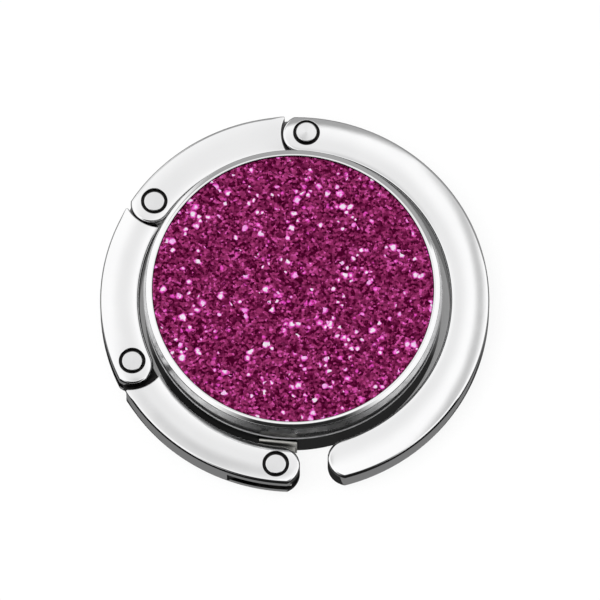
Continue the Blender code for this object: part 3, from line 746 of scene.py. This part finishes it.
def block(name, origin, axes, low, high, bevel):
    """A block between two corners given along three axes from a point, its edges rounded."""
    bm = bmesh.new()
    bmesh.ops.create_cube(bm, size=1.0)
    for vert in bm.verts:
        spot = [a + (b - a) * (c + 0.5) for a, b, c in zip(low, high, vert.co)]
        vert.co = Vector(sum((axis * value for axis, value in zip(axes, spot)), origin)) * MM
    bmesh.ops.recalc_face_normals(bm, faces=bm.faces)
    if bevel:
        bmesh.ops.bevel(bm, geom=bm.edges[:], offset=bevel * MM, segments=4, profile=0.5, affect="EDGES")
    mesh = bpy.data.meshes.new(name)
    bm.to_mesh(mesh)
    bm.free()
    return new_object(name, mesh)


def make_knuckle():
    """The knuckle: a plate on the disc's wall, a stud into the disc and a tongue outwards."""
    rivet = rivet_frame(LOWER_RIVET)[0]
    distance = norm(rivet - DISC_CENTRE)
    outward = (rivet - DISC_CENTRE) / distance
    axes = [Vector((*outward, 0.0)), Vector((-outward[1], outward[0], 0.0)), Vector((0.0, 0.0, 1.0))]
    origin = Vector((DISC_X, 0.0, MID_HEIGHT))
    sweep = radians(LOWER_OPENING)
    ear_sweep = END_RADIUS + EAR_REACH * sin(sweep) - END_BULGE * cos(sweep)
    near, far = BASE_RADIUS + RUNNING_GAP, distance - ear_sweep - RUNNING_GAP
    middle, heel = (near + far) / 2, distance + TONGUE_HEEL
    low, high = (near, -HALF_PLATE_WIDTH, -HALF_PLATE_HEIGHT), (far, HALF_PLATE_WIDTH, HALF_PLATE_HEIGHT)
    plate = block("plate", origin, axes, low, high, PLATE_ROUND)
    half = TONGUE_HIGH - MID_HEIGHT
    low, high = (middle, -HALF_TONGUE, -half), (heel, HALF_TONGUE, half)
    tongue = block("tongue", origin, axes, low, high, 0.0)
    washer_far = sqrt(BASE_INNER**2 - WASHER_RADIUS**2) - SEAT_GAP
    groove_far = washer_far - WASHER_THICKNESS
    groove_near = groove_far - 2 * SEAT_GAP - CLIP_THICKNESS
    tail = groove_near - STUD_TAIL
    profile = [
        (0.0, middle), (STUD_RADIUS, middle),
        (STUD_RADIUS, groove_far), (STUD_NECK, groove_far),
        (STUD_NECK, groove_near), (STUD_RADIUS, groove_near),
        (STUD_RADIUS, tail, STUD_ROUND), (0.0, tail),
    ]
    aim = Matrix.Rotation(atan2(outward[1], outward[0]), 3, "Z")
    lay = Matrix.Rotation(pi / 2, 3, "Y")
    stud = turned("stud", profile, CIRCLE_STEPS, origin, matrix=aim @ lay)
    bore, reach = RIVET_SHANK + RUNNING_GAP, 1.5
    ends = [(0.0, reach), (bore, reach), (bore, -reach), (0.0, -reach)]
    hole = turned("hole", ends, CIRCLE_STEPS, (*rivet, MID_HEIGHT))
    return joined("swivel_block", plate, [tongue, stud], hole)


# Glitter
def make_glitter():
    """The insert: a rim and a back, under a top of thousands of small tilted facets."""
    random = np.random.default_rng(11)
    shell = Shell()
    rim, edge = INSERT_TOP - GLITTER_RIM, INSERT_RADIUS - GLITTER_RIM
    corners = [(edge, rim), (INSERT_RADIUS, rim - GLITTER_RIM),
               (INSERT_RADIUS, INSERT_BOTTOM, 0.1), (0.0, INSERT_BOTTOM)]
    turn_pieces(shell, rounded_profile(corners), GLITTER_STEPS, DISC_PLACE)
    steps = range(-FACET_ROWS, FACET_ROWS + 1)
    spots = [((column + row % 2 / 2) * FACET_PITCH, row * FACET_PITCH * 0.866)
             for row in steps for column in steps]
    spots = np.array(spots) + random.uniform(-FACET_JITTER, FACET_JITTER, (len(spots), 2))
    spots = spots[norm(spots, axis=1) < INSERT_RADIUS - 0.2] + DISC_CENTRE
    flat, faces = fill([circle(DISC_CENTRE, edge, GLITTER_STEPS)], spots)
    height = np.full(len(flat), rim)
    inner = norm(flat - DISC_CENTRE, axis=1) < INSERT_RADIUS - 0.15
    height[inner] = INSERT_TOP - random.uniform(0.0, FACET_DEPTH, inner.sum())
    points = raised(flat, height)
    for face in faces:
        spots = points[face]
        normal = np.cross(spots[1] - spots[0], spots[2] - spots[0])
        shell.patch(spots, [normal * (1.0 if normal[2] > 0 else -1.0)] * 3, [[0, 1, 2]])
    return shell.build("glitter_face")


# Materials
class Tree:
    """Shader nodes, made and linked by short calls."""

    def __init__(self, tree):
        self.tree = tree

    def put(self, socket, value):
        """Sets an input socket, or links it where the value is an output socket."""
        if isinstance(value, bpy.types.NodeSocket):
            self.tree.links.new(value, socket)
        else:
            socket.default_value = value

    def add(self, kind, inputs=(), **settings):
        node = self.tree.nodes.new("ShaderNode" + kind)
        for key, value in settings.items():
            setattr(node, key, value)
        for key, value in dict(inputs).items():
            self.put(node.inputs[key], value)
        return node

    def math(self, operation, *values):
        return self.add("Math", dict(enumerate(values)), operation=operation).outputs[0]

    def vector(self, operation, inputs):
        return self.add("VectorMath", inputs, operation=operation).outputs[0]

    def fold(self, operation, first, *values):
        """The sum, product or maximum of any number of values."""
        for value in values:
            first = self.math(operation, first, value)
        return first

    def reach(self, across, along):
        """The length of a flat vector."""
        squares = [self.math("MULTIPLY", value, value) for value in (across, along)]
        return self.math("SQRT", self.math("ADD", *squares))

    def rise(self, value, first, last):
        """A soft step from 0 to 1 as a value goes from first to last."""
        inputs = {"Value": value, "From Min": first, "From Max": last}
        return self.add("MapRange", inputs, interpolation_type="SMOOTHSTEP").outputs["Result"]

    def span(self, value, low, high, first=0.3, last=0.7):
        """A value from first to last, mapped to a range."""
        inputs = {"Value": value, "From Min": first, "From Max": last, "To Min": low, "To Max": high}
        return self.add("MapRange", inputs).outputs["Result"]

    def seen(self):
        """1 for camera, glossy and transmission rays, otherwise 0."""
        path = self.add("LightPath").outputs
        kinds = ("Camera", "Glossy", "Transmission")
        return self.fold("MAXIMUM", *[path[f"Is {kind} Ray"] for kind in kinds])


class Nodes(Tree):
    """A material's nodes."""

    def __init__(self, name):
        self.material = bpy.data.materials.new(name)
        self.material.use_nodes = True
        super().__init__(self.material.node_tree)
        self.shader = self.tree.nodes["Principled BSDF"]

    def place(self):
        return self.add("TexCoord").outputs["Object"]

    def noise(self, size, detail=2.0, rough=0.5, output="Fac"):
        """Noise with features of about a size in millimetres."""
        scale = 1.0 / (size * MM)
        inputs = {"Vector": self.place(), "Scale": scale, "Detail": detail, "Roughness": rough}
        return self.add("TexNoise", inputs).outputs[output]

    def cells(self, size, place):
        """Cells of about a size in millimetres: how far points are from each one's middle, and
        three random numbers for each."""
        found = self.add("TexVoronoi", {"Vector": place, "Scale": 1.0 / (size * MM)}).outputs
        return found["Distance"], self.add("SeparateColor", {"Color": found["Color"]}).outputs

    def painted_hollow_shade(self, base, reach, stops):
        """Painted shade: a colour made darker where other surfaces stand close, within a reach in
        millimetres.
        """
        open_share = self.add("AmbientOcclusion", {"Distance": reach * MM}, samples=8).outputs["AO"]
        shade = self.ramp(open_share, [(position, (tone,) * 3) for position, tone in stops])
        colours = {"Fac": 1.0, "Color1": base, "Color2": shade}
        return self.add("MixRGB", colours, blend_type="MULTIPLY").outputs["Color"]

    def ramp(self, value, stops, interpolation="LINEAR"):
        node = self.add("ValToRGB", {"Fac": value})
        node.color_ramp.interpolation = interpolation
        elements = node.color_ramp.elements
        while len(elements) < len(stops):
            elements.new(1.0)
        for element, (position, colour) in zip(elements, stops):
            element.position = position
            element.color = (*colour, 1.0)
        return node.outputs["Color"]

    def bump(self, height, distance, normal=None):
        inputs = {"Height": height, "Distance": distance * MM, "Strength": 1.0}
        if normal:
            inputs["Normal"] = normal
        return self.add("Bump", inputs).outputs["Normal"]

    def shade(self, **inputs):
        """The material, with inputs of its shader set or linked."""
        names = {"base": "Base Color", "specular": "Specular IOR Level",
                 "glow": "Emission Color", "glow_strength": "Emission Strength"}
        for key, value in inputs.items():
            self.put(self.shader.inputs[names.get(key, key.capitalize())], value)
        return self.material


def chrome(name, low=0.95, high=0.985, rough=0.05, wave=0.02, reach=0.9, stops=OPEN_SHADE_STOPS):
    """Polished chrome plating: faint waves from the buffing wheel, haze and hairline marks, and painted
    shade that darkens it where other surfaces stand close.
    """
    nodes = Nodes(name)
    tone = nodes.span(nodes.noise(7.0, 3.0), 0.0, 1.0)
    base = nodes.ramp(tone, [(0.0, (low, low, low * 1.006)), (1.0, (high, high, high * 1.004))])
    # Painted shade: the colour darkens where other surfaces stand close
    base = nodes.painted_hollow_shade(base, reach, stops)
    haze = nodes.span(nodes.noise(1.6, 4.0, 0.6), rough * 0.6, rough * 1.5)
    waves = nodes.bump(nodes.noise(6.0, 1.0), wave)
    grain = nodes.bump(nodes.noise(0.35, 3.0, 0.6), 0.0006, waves)
    return nodes.shade(base=base, metallic=1.0, roughness=haze, normal=grain)


def mottled(name):
    """One of the surfaces in soft patches of two colours, some darkened by painted shade where other
    surfaces stand close.
    """
    nodes = Nodes(name)
    size, colours, (haze_size, *haze), (grain_size, detail, depth), metallic, *painted_hollow_shade = SURFACES[name]
    base = nodes.ramp(nodes.span(nodes.noise(size, 4.0), 0.0, 1.0), list(enumerate(colours)))
    if painted_hollow_shade:
        base = nodes.painted_hollow_shade(base, *painted_hollow_shade)
    rough = nodes.span(nodes.noise(haze_size, 3.0), *haze)
    marks = nodes.bump(nodes.noise(grain_size, detail), depth)
    return nodes.shade(base=base, metallic=metallic, roughness=rough, normal=marks)


def rubber(name):
    """Matt black rubber with a fine moulded grain and a little dust."""
    nodes = Nodes(name)
    dust = nodes.span(nodes.noise(2.2, 5.0, 0.65), 0.0, 1.0, 0.42, 0.75)
    base = nodes.ramp(dust, [(0.0, (0.016, 0.016, 0.018)), (1.0, (0.036, 0.035, 0.036))])
    grain = nodes.bump(nodes.cells(0.42, nodes.place())[0], 0.05)
    rough = nodes.span(nodes.noise(0.8, 3.0), 0.62, 0.85)
    return nodes.shade(base=base, roughness=rough, normal=grain)


def glitter(name):
    """Magenta glitter: fine grains of plum, magenta and pink in looser and denser patches, with bunches of
    larger, less metallic flakes whose pink-white middles inside hot pink rims are painted glints."""
    nodes = Nodes(name)
    place = nodes.place()
    _, pick = nodes.cells(0.27, place)
    patches = nodes.span(nodes.noise(1.3, 3.0), -0.16, 0.16)
    base = nodes.ramp(nodes.math("ADD", pick["Red"], patches), GRAIN_STOPS, "CONSTANT")
    shift = nodes.noise(0.55, 1.0, output="Color")
    shift = nodes.vector("SUBTRACT", {0: shift, 1: (0.5, 0.5, 0.5)})
    shift = nodes.vector("SCALE", {0: shift, "Scale": 0.5 * MM})
    place = nodes.vector("ADD", {0: place, 1: shift})
    bunches = nodes.span(nodes.noise(1.9, 2.0), -0.10, 0.10)
    metal = 1.0
    for size, rarity in ((0.84, 0.865), (0.52, 0.90)):
        distance, choice = nodes.cells(size, place)
        chosen = nodes.math("GREATER_THAN", nodes.math("ADD", choice["Green"], bunches), rarity)
        reach = nodes.math("MULTIPLY_ADD", choice["Blue"], 0.18, 0.25)
        # Painted glints on the chosen flakes: a hot pink rim, then a pink-white middle
        for more, colour in ((0.2, GLINT_RIM), (0.03, nodes.ramp(choice["Red"], GLINT_STOPS))):
            inside = nodes.math("SUBTRACT", nodes.math("ADD", reach, more), distance)
            part = nodes.math("MULTIPLY", chosen, nodes.span(inside, 0.0, 1.0, 0.0, 0.14))
            base = nodes.add("MixRGB", {"Fac": part, "Color1": base, "Color2": colour}).outputs["Color"]
        metal = nodes.math("MULTIPLY_ADD", part, -0.75, metal)
    rough = nodes.span(pick["Green"], 0.2, 0.45, 0.0, 1.0)
    metal = nodes.math("MAXIMUM", metal, 0.2)
    return nodes.shade(base=base, metallic=metal, roughness=rough, normal=nodes.bump(pick["Blue"], 0.02))


# Assembly
def dress(obj, body, node, materials):
    """Gives a piece its body and its materials, and hides the CAD node it stands for."""
    for material in materials:
        obj.data.materials.append(material)
    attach(obj, body)
    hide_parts(node)


def make_ring():
    """The ring's pieces, each with its rivet, how far it opens, the far rivet, how far its horns
    reach past that rivet, and how high its own rivet's head stands."""
    links = [
        ("lower", LOWER_RIVET, LOWER_OPENING, MIDDLE_RIVET, 3.45, 0.0),
        ("middle", MIDDLE_RIVET, 18.0, UPPER_RIVET, 2.95, 0.0),
        ("upper", UPPER_RIVET, 18.0, ARM_RIVET, 2.95, 0.0),
        ("arm", ARM_RIVET, 90.0, None, None, ARM_RIVET_RISE),
    ]
    ring_finish = chrome("ring_chrome")
    # Near-black metal: painted shade in the sinks and slots, and on the lower link's shoulder and tongue
    shade_finish = mottled("shade_black_metal")
    head_finish = chrome("rivet_chrome", 0.86, 0.92, 0.1, 0.006)
    for key, rivet, opening, far, reach, rise in links:
        is_lower, is_arm = key == "lower", key == "arm"
        body = key if is_arm else key + "_link"
        depth = slot_depth(opening, 90.0 - HEEL_ANGLE if is_lower else HEEL_ANGLE)
        piece = ring_piece(key + "_band", BOWS[key], rivet, depth, far, reach, is_lower)
        dress(piece, body, "hook_arm" if is_arm else body, [ring_finish, shade_finish])
        dress(make_rivet(key + "_pin", rivet, rise), body, key + "_rivet", [head_finish])


def make_disc():
    cup_finish = chrome("cup_chrome", 0.86, 0.92, 0.07)
    dress(make_base_cup(), "disc", "base_cup", [cup_finish, mottled("seam_metal")])
    # The lip and the wall behind the ring are darkened by painted shade where the ring stands close
    lip_finish = chrome("lip_chrome", reach=4.5, stops=WALL_SHADE_STOPS)
    wall_finish = chrome("wall_chrome", 0.76, 0.80, 0.32, wave=0.01, reach=4.5, stops=WALL_SHADE_STOPS)
    dress(make_bezel(), "disc", "bezel_cup", [lip_finish, wall_finish])
    dress(make_glitter(), "disc", "glitter_insert", [glitter("pink_grains")])
    dress(make_pad(), "disc", "rubber_pad", [rubber("grip_rubber")])
    # The knuckle's colour carries painted shade where the disc and ring stand close
    dress(make_knuckle(), "knuckle", "swivel_knuckle", [mottled("knuckle_satin")])
    film, spring = mottled("film"), mottled("spring")
    hidden = {"insert_adhesive": film, "pad_adhesive": film,
              "swivel_washer": spring, "retaining_clip": spring}
    for name, finish in hidden.items():
        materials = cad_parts[name].data.materials
        materials.clear()
        materials.append(finish)


# Studio
def stage_sheet(name, verts, faces, material):
    mesh = bpy.data.meshes.new(name)
    mesh.from_pydata(verts, [], faces)
    mesh.materials.append(material)
    obj = new_object(name, mesh)
    return obj


def make_floor():
    """A pale floor, part see-through to the camera, so that it hides nothing that swings below it.
    Under the gap between the disc and the ring it is solid, and darker in colour and glow: a painted
    shadow."""
    nodes = Nodes("floor_paper")
    x, y, _ = nodes.add("SeparateXYZ", {0: nodes.place()}).outputs
    radius = nodes.reach(x, y)
    # Where the painted shadow ends and it turns pale: past the disc and in the gap in the ring; and where
    # it is see-through too: under the pad
    edges = (radius, 18.2, 19.4), (y, -11.0, -15.0), (radius, 15.3, 15.0)
    outside, gap, pad = [nodes.rise(value, first * MM, last * MM) for value, first, last in edges]
    unshadowed_floor = nodes.math("MAXIMUM", outside, gap)
    tone = nodes.span(nodes.noise(30.0, 4.0), 0.79, 0.81)
    # Painted shadow: inside the disc's reach the floor's colour is darker and its glow lower
    tone = nodes.math("MULTIPLY", tone, nodes.math("MULTIPLY_ADD", unshadowed_floor, 0.4, 0.6))
    base = nodes.add("CombineColor", {0: tone, 1: tone, 2: tone}).outputs[0]
    lift = nodes.math("MULTIPLY", nodes.seen(), nodes.math("MULTIPLY_ADD", unshadowed_floor, 0.22, 0.20))
    clear = nodes.math("MAXIMUM", unshadowed_floor, pad)
    clear = nodes.math("MULTIPLY", clear, nodes.add("LightPath").outputs["Is Camera Ray"])
    alpha = nodes.math("MULTIPLY_ADD", clear, -0.8, 1.0)
    white = (1.0, 1.0, 1.0, 1.0)
    nodes.shade(base=base, roughness=0.9, specular=0.0, alpha=alpha, glow=white, glow_strength=lift)
    half, low = 3000.0 * MM, -0.02 * MM
    corners = [(-half, -half, low), (half, -half, low), (half, half, low), (-half, half, low)]
    stage_sheet("floor", corners, [(0, 1, 2, 3)], nodes.material)


def card(name, rings, tones, first=0.0, last=360.0):
    """A curved card that only reflections see, between two rings, each a radius and a height, and two
    directions; its dark glow is a painted reflection. Its tones are those of the camera's side, the flanks
    and the back."""
    steps = 96
    angles = [first + (last - first) * i / steps for i in range(steps + 1)]
    verts = [(*(polar(radius, angle) * MM), height * MM) for radius, height in rings for angle in angles]
    faces = [(i, i + 1, i + steps + 2, i + steps + 1) for i in range(steps)]
    nodes = Nodes(name + "_paper")
    way = nodes.vector("NORMALIZE", {0: nodes.place()})
    back = nodes.add("SeparateXYZ", {0: way}).outputs["Y"]
    front, flank, rear = [(tone,) * 3 for tone in tones]
    stops = [(0.33, front), (0.45, flank), (0.62, flank), (0.80, rear)]
    tone = nodes.ramp(nodes.math("MULTIPLY_ADD", back, 0.5, 0.5), stops)
    nodes.shade(base=(0.0, 0.0, 0.0, 1.0), roughness=1.0, specular=0.0, glow=tone, glow_strength=1.0)
    obj = stage_sheet(name, verts, faces, nodes.material)
    obj.visible_camera = obj.visible_diffuse = obj.visible_shadow = obj.visible_transmission = False


def sky_tone(nodes):
    """White for every ray but a reflection's, which finds the sky's grey spots and panels."""
    place = nodes.add("TexCoord").outputs["Generated"]
    axes = dict(zip(("side", "back"), nodes.add("SeparateXYZ", {0: place}).outputs))
    shades = []
    for x, y, half_x, half_y, full, depth in SKY_SPOTS:
        across = nodes.math("DIVIDE", nodes.math("SUBTRACT", axes["side"], x), half_x)
        along = nodes.math("DIVIDE", nodes.math("SUBTRACT", axes["back"], y), half_y)
        shades.append(nodes.math("MULTIPLY", nodes.rise(nodes.reach(across, along), 1.05, full), depth))
    for edges, depth in SKY_PANELS:
        steps = [nodes.rise(axes[axis], first, last) for axis, first, last in edges]
        shades.append(nodes.fold("MULTIPLY", *steps, depth))
    shade = nodes.fold("ADD", *shades)
    shade = nodes.math("MULTIPLY", shade, nodes.add("LightPath").outputs["Is Glossy Ray"])
    tone = nodes.math("SUBTRACT", 1.0, shade)
    return nodes.add("CombineColor", {0: tone, 1: tone, 2: tone}).outputs[0]


def make_world():
    world = bpy.data.worlds.new("studio")
    world.use_nodes = True
    world.node_tree.nodes.clear()
    nodes = Tree(world.node_tree)
    strength = nodes.span(nodes.seen(), 0.55, 1.0, 0.0, 1.0)
    background = nodes.add("Background", {"Color": sky_tone(nodes), "Strength": strength}).outputs[0]
    nodes.add("OutputWorld", {0: background})
    bpy.context.scene.world = world


def make_lamp():
    """A large soft lamp that reflections don't show."""
    light = bpy.data.lights.new("key_lamp", "AREA")
    light.size, light.energy = 500.0 * MM, 2.4
    obj, place = new_object("key_lamp", light), Vector((-260.0, -160.0, 700.0))
    obj.location = place * MM
    obj.rotation_euler = place.to_track_quat("Z", "Y").to_euler()
    obj.visible_glossy = False


def make_camera():
    """A long lens, 19.3 degrees off the disc's axis towards the knuckle."""
    target, way = Vector((0.607, -0.176, RING_TOP)), Vector((0.0, -0.3305, 0.9438))
    distance, view_width, sensor = 1500.0, 69.34, 36.0
    camera = bpy.data.cameras.new("camera")
    camera.sensor_width = sensor
    camera.lens = sensor * distance / view_width
    obj = new_object("camera", camera)
    obj.location = (target + way * distance) * MM
    obj.rotation_euler = way.to_track_quat("Z", "Y").to_euler()
    bpy.context.scene.camera = obj


make_ring()
make_disc()
make_floor()
card("camera_side_card", [(40.0, 0.05), (40.0, 17.5)], (0.008, 0.008, 0.008), 205.0, 335.0)
card("horizon_card", [(520.0, 0.5), (510.0, 110.0)], (0.01, 0.18, 0.25))
# The low cards lie on the floor around the hook: painted shade of the floor, seen only in reflections
card("low_card", [(22.9, 0.06), (25.6, 0.06)], (0.19, 0.07, 0.2))
card("middle_low_card", [(25.6, 0.06), (30.0, 0.06)], (0.01, 0.07, 0.2))
card("far_low_card", [(30.0, 0.05), (420.0, 0.05)], (0.01, 0.22, 0.22))
card("inner_low_card", [(15.0, 0.06), (22.9, 0.06)], (0.02, 0.15, 0.15))
make_world()
make_lamp()
make_camera()
bpy.context.scene.view_settings.view_transform = "Standard"
